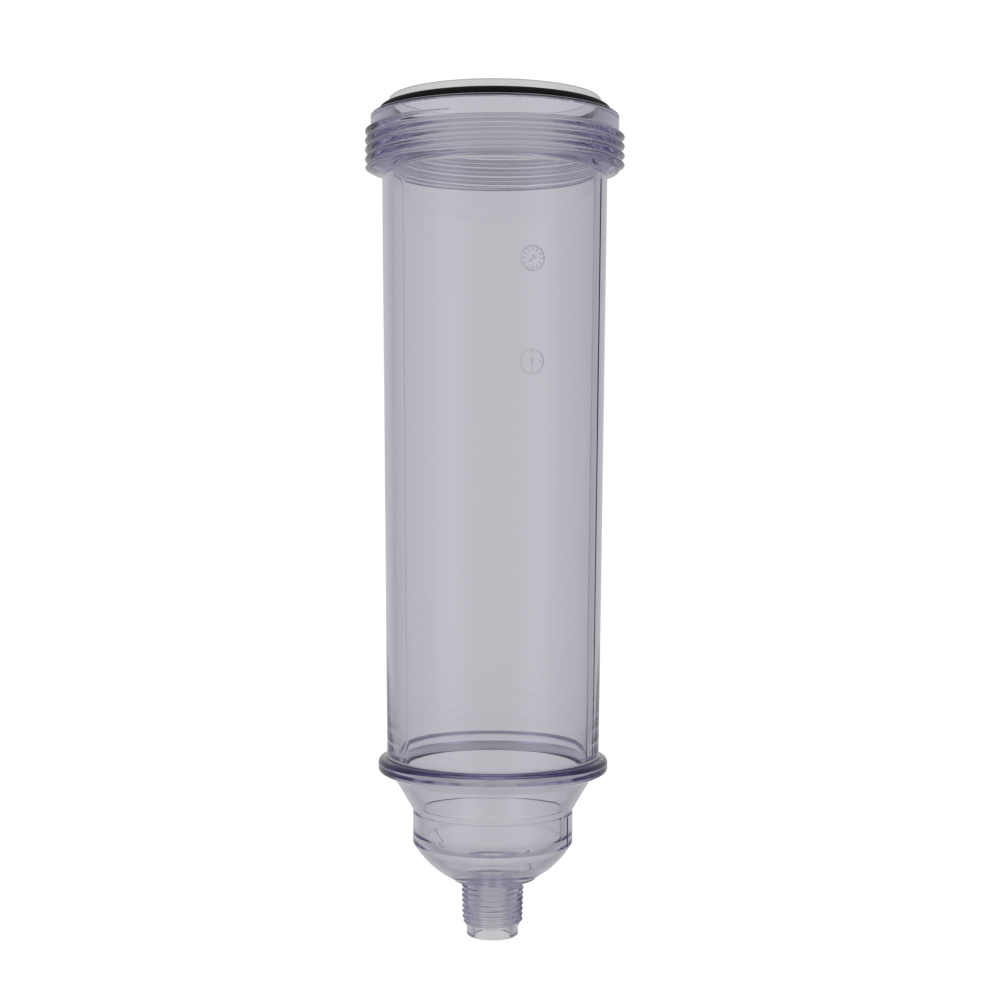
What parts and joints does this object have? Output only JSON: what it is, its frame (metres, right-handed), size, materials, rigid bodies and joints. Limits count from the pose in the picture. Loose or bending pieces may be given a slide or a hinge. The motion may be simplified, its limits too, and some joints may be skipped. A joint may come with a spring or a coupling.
{
  "type": "clear threaded filter bowl with seal",
  "caption": "Clear screw-on bowl of a compressed-air line filter: lipped mouth with an O-ring, threaded collar, long tube, bumper bead, sediment cup and threaded drain nipple.",
  "frame": {"origin": "on the bowl's axis, at the top of the sealing shoulder that meets the filter head", "axes": "+Z along the bowl's axis, out of the mouth and up towards the filter head; -Y is the side with the date inserts"},
  "size_m": [0.0888, 0.0888, 0.2875],
  "materials": {
    "clear_polycarbonate": "clear moulded polycarbonate, gloss",
    "seal_rubber": "black nitrile rubber"
  },
  "bodies": {
    "bowl": {"bowl": "clear_polycarbonate"},
    "seal": {"bowl_seal": "seal_rubber"}
  },
  "joints": [
    {"name": "seal_lift_off", "type": "slide", "parent": "bowl", "child": "seal", "axis": [0, 0, 1], "range_m": [0, 0.012]}
  ]
}
